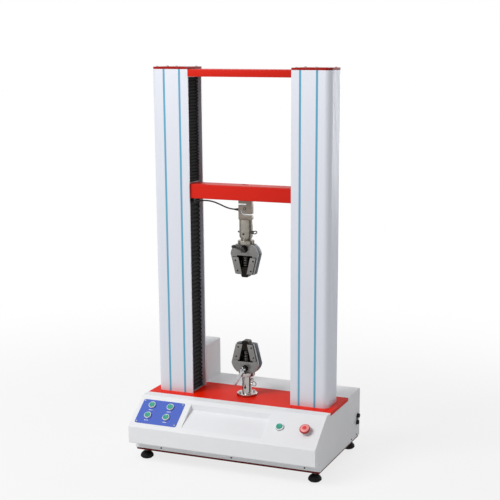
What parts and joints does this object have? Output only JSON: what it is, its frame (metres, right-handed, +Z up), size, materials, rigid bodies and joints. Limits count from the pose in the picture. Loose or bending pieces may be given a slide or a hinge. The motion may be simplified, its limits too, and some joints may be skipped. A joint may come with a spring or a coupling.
{
  "type": "force testing machine",
  "caption": "Bench-top twin-column force tester: red crosshead on ball screws, S load cell, wedge grips, bellows, sloped control panel and levelling feet.",
  "frame": {"origin": "on the floor under the load axis, midway between the columns", "axes": "+X to the operator's right along the crosshead, +Y to the rear, +Z up along the load axis"},
  "size_m": [0.7556, 0.512, 1.4625],
  "materials": {
    "red_paint": "glossy stove enamel on steel",
    "white_paint": "fine powder coat on folded steel",
    "column_extrusion": "satin coated extrusion",
    "insert_strip": "extruded strip, satin",
    "panel_foil": "smooth control panel foil",
    "button_green": "moulded, glossy",
    "stop_red": "moulded, glossy",
    "bezel_grey": "moulded, satin",
    "black_plastic": "moulded, fine grain",
    "black_rubber": "moulded, matt",
    "bellows_cloth": "coated cloth, folded",
    "bright_steel": "turned and ground",
    "screw_steel": "bright zinc",
    "jaw_steel": "blackened",
    "cell_alloy": "machined, satin",
    "drive_grey": "matt paint"
  },
  "bodies": {
    "root": {"bottom_tray": "red_paint", "base_case": "white_paint", "table_plate": "red_paint", "motor_tower": "white_paint", "frame_screws": "screw_steel", "control_panel": "panel_foil", "button_bezels": "bezel_grey", "side_sockets": "black_plastic", "column_cover_left": "column_extrusion", "column_cover_right": "column_extrusion", "column_inserts": "insert_strip", "column_top_plates": "red_paint", "top_beam": "red_paint", "guide_rods": "bright_steel", "screw_bearings": "drive_grey", "upper_bellows": "bellows_cloth", "lower_bellows": "bellows_cloth", "bellows_end_plates": "drive_grey", "drive_motor": "black_plastic", "drive_belt": "black_rubber", "drive_electronics": "drive_grey", "lower_adapter": "bright_steel", "lower_grip_body": "bright_steel", "lower_grip_rails": "bright_steel", "lower_jaw_spring": "jaw_steel"},
    "crosshead": {"crosshead_beam": "red_paint", "crosshead_carriages": "drive_grey", "bellows_carriage_plates": "drive_grey", "load_cell": "cell_alloy", "load_cell_cable": "black_rubber", "load_cell_fittings": "screw_steel", "upper_adapter": "bright_steel", "upper_lock_ring": "bright_steel", "upper_grip_body": "bright_steel", "upper_grip_rails": "bright_steel", "upper_jaw_spring": "jaw_steel"},
    "left_screw": {"ball_screw_left": "bright_steel"},
    "right_screw": {"ball_screw_right": "bright_steel"},
    "motor_shaft": {"motor_pulley": "bright_steel"},
    "upper_lever": {"upper_grip_lever": "screw_steel"},
    "upper_yoke": {"upper_jaw_yoke": "jaw_steel"},
    "upper_left_jaw": {"upper_jaw_left": "jaw_steel"},
    "upper_right_jaw": {"upper_jaw_right": "jaw_steel"},
    "upper_pin_body": {"upper_pin": "screw_steel"},
    "lower_lever": {"lower_grip_lever": "screw_steel"},
    "lower_yoke": {"lower_jaw_yoke": "jaw_steel"},
    "lower_left_jaw": {"lower_jaw_left": "jaw_steel"},
    "lower_right_jaw": {"lower_jaw_right": "jaw_steel"},
    "lower_pin_body": {"lower_pin": "screw_steel"},
    "button_1": {"panel_button_1": "button_green"},
    "button_2": {"panel_button_2": "button_green"},
    "button_3": {"panel_button_3": "button_green"},
    "button_4": {"panel_button_4": "button_green"},
    "start": {"start_button": "button_green"},
    "stop_stem": {"emergency_stop_stem": "bezel_grey"},
    "stop_head": {"emergency_stop_cap": "stop_red"},
    "foot_front_left_body": {"foot_front_left": "black_rubber"},
    "foot_front_right_body": {"foot_front_right": "black_rubber"},
    "foot_rear_left_body": {"foot_rear_left": "black_rubber"},
    "foot_rear_right_body": {"foot_rear_right": "black_rubber"}
  },
  "joints": [
    {"name": "crosshead_travel", "type": "slide", "parent": "root", "child": "crosshead", "axis": [0, 0, 1], "range_m": [-0.23, 0.26], "deforming": ["upper_bellows", "lower_bellows"]},
    {"name": "left_screw_turn", "type": "hinge", "parent": "root", "child": "left_screw", "pos_m": [-0.262, 0, 0.24], "axis": [0, 0, 1], "continuous": true},
    {"name": "right_screw_turn", "type": "hinge", "parent": "root", "child": "right_screw", "pos_m": [0.262, 0, 0.24], "axis": [0, 0, 1], "continuous": true},
    {"name": "motor_turn", "type": "hinge", "parent": "root", "child": "motor_shaft", "pos_m": [-0.29, 0.173, 0.16], "axis": [0, 0, 1], "continuous": true},
    {"name": "upper_lever_turn", "type": "hinge", "parent": "crosshead", "child": "upper_lever", "pos_m": [0, 0, 0.804], "axis": [0, -1, 0], "range_deg": [0, 60], "stiffness_Nm_per_rad": 1, "springref_deg": -22.92},
    {"name": "upper_yoke_slide", "type": "slide", "parent": "crosshead", "child": "upper_yoke", "axis": [0, 0, 1], "range_m": [0, 0.02], "deforming": ["upper_jaw_spring"]},
    {"name": "upper_left_jaw_slide", "type": "slide", "parent": "crosshead", "child": "upper_left_jaw", "axis": [-0.225, 0, 0.9744], "range_m": [0, 0.02053]},
    {"name": "upper_right_jaw_slide", "type": "slide", "parent": "crosshead", "child": "upper_right_jaw", "axis": [0.225, 0, 0.9744], "range_m": [0, 0.02053]},
    {"name": "upper_pin_pull", "type": "slide", "parent": "crosshead", "child": "upper_pin_body", "axis": [1, 0, 0], "range_m": [0, 0.058]},
    {"name": "lower_lever_turn", "type": "hinge", "parent": "root", "child": "lower_lever", "pos_m": [0, 0, 0.347], "axis": [0, 1, 0], "range_deg": [0, 60], "stiffness_Nm_per_rad": 1, "springref_deg": -22.92},
    {"name": "lower_yoke_slide", "type": "slide", "parent": "root", "child": "lower_yoke", "axis": [0, 0, -1], "range_m": [0, 0.02], "deforming": ["lower_jaw_spring"]},
    {"name": "lower_left_jaw_slide", "type": "slide", "parent": "root", "child": "lower_left_jaw", "axis": [-0.225, 0, -0.9744], "range_m": [0, 0.02053]},
    {"name": "lower_right_jaw_slide", "type": "slide", "parent": "root", "child": "lower_right_jaw", "axis": [0.225, 0, -0.9744], "range_m": [0, 0.02053]},
    {"name": "lower_pin_pull", "type": "slide", "parent": "root", "child": "lower_pin_body", "axis": [1, 0, 0], "range_m": [0, 0.044]},
    {"name": "button_1_press", "type": "slide", "parent": "root", "child": "button_1", "axis": [0, -0.5958, 0.8031], "range_m": [-0.003, 0], "stiffness_N_per_m": 400, "springref_m": 0.002},
    {"name": "button_2_press", "type": "slide", "parent": "root", "child": "button_2", "axis": [0, -0.5958, 0.8031], "range_m": [-0.003, 0], "stiffness_N_per_m": 400, "springref_m": 0.002},
    {"name": "button_3_press", "type": "slide", "parent": "root", "child": "button_3", "axis": [0, -0.5958, 0.8031], "range_m": [-0.003, 0], "stiffness_N_per_m": 400, "springref_m": 0.002},
    {"name": "button_4_press", "type": "slide", "parent": "root", "child": "button_4", "axis": [0, -0.5958, 0.8031], "range_m": [-0.003, 0], "stiffness_N_per_m": 400, "springref_m": 0.002},
    {"name": "start_press", "type": "slide", "parent": "root", "child": "start", "axis": [0, -0.5958, 0.8031], "range_m": [-0.003, 0], "stiffness_N_per_m": 400, "springref_m": 0.002},
    {"name": "stop_press", "type": "slide", "parent": "root", "child": "stop_stem", "axis": [0, -0.5958, 0.8031], "range_m": [-0.004, 0], "stiffness_N_per_m": 900, "springref_m": 0.002},
    {"name": "stop_twist", "type": "hinge", "parent": "stop_stem", "child": "stop_head", "pos_m": [0.315, -0.20284, 0.19212], "axis": [0, -0.5958, 0.8031], "range_deg": [0, 45], "stiffness_Nm_per_rad": 0.02, "springref_deg": -17.19},
    {"name": "foot_front_left_turn", "type": "hinge", "parent": "root", "child": "foot_front_left_body", "pos_m": [-0.342, -0.178, 0.03], "axis": [0, 0, 1], "continuous": true},
    {"name": "foot_front_right_turn", "type": "hinge", "parent": "root", "child": "foot_front_right_body", "pos_m": [0.342, -0.178, 0.03], "axis": [0, 0, 1], "continuous": true},
    {"name": "foot_rear_left_turn", "type": "hinge", "parent": "root", "child": "foot_rear_left_body", "pos_m": [-0.342, 0.206, 0.03], "axis": [0, 0, 1], "continuous": true},
    {"name": "foot_rear_right_turn", "type": "hinge", "parent": "root", "child": "foot_rear_right_body", "pos_m": [0.342, 0.206, 0.03], "axis": [0, 0, 1], "continuous": true}
  ],
  "couplings": [
    {"joint": "left_screw_turn", "follows": "crosshead_travel", "rad_per_m": 628.32},
    {"joint": "right_screw_turn", "follows": "crosshead_travel", "rad_per_m": 628.32},
    {"joint": "motor_turn", "follows": "crosshead_travel", "rad_per_m": 1068.1},
    {"joint": "upper_yoke_slide", "follows": "upper_lever_turn", "m_per_rad": 0.019099},
    {"joint": "upper_left_jaw_slide", "follows": "upper_lever_turn", "m_per_rad": 0.019601},
    {"joint": "upper_right_jaw_slide", "follows": "upper_lever_turn", "m_per_rad": 0.019601},
    {"joint": "lower_yoke_slide", "follows": "lower_lever_turn", "m_per_rad": 0.019099},
    {"joint": "lower_left_jaw_slide", "follows": "lower_lever_turn", "m_per_rad": 0.019601},
    {"joint": "lower_right_jaw_slide", "follows": "lower_lever_turn", "m_per_rad": 0.019601}
  ]
}
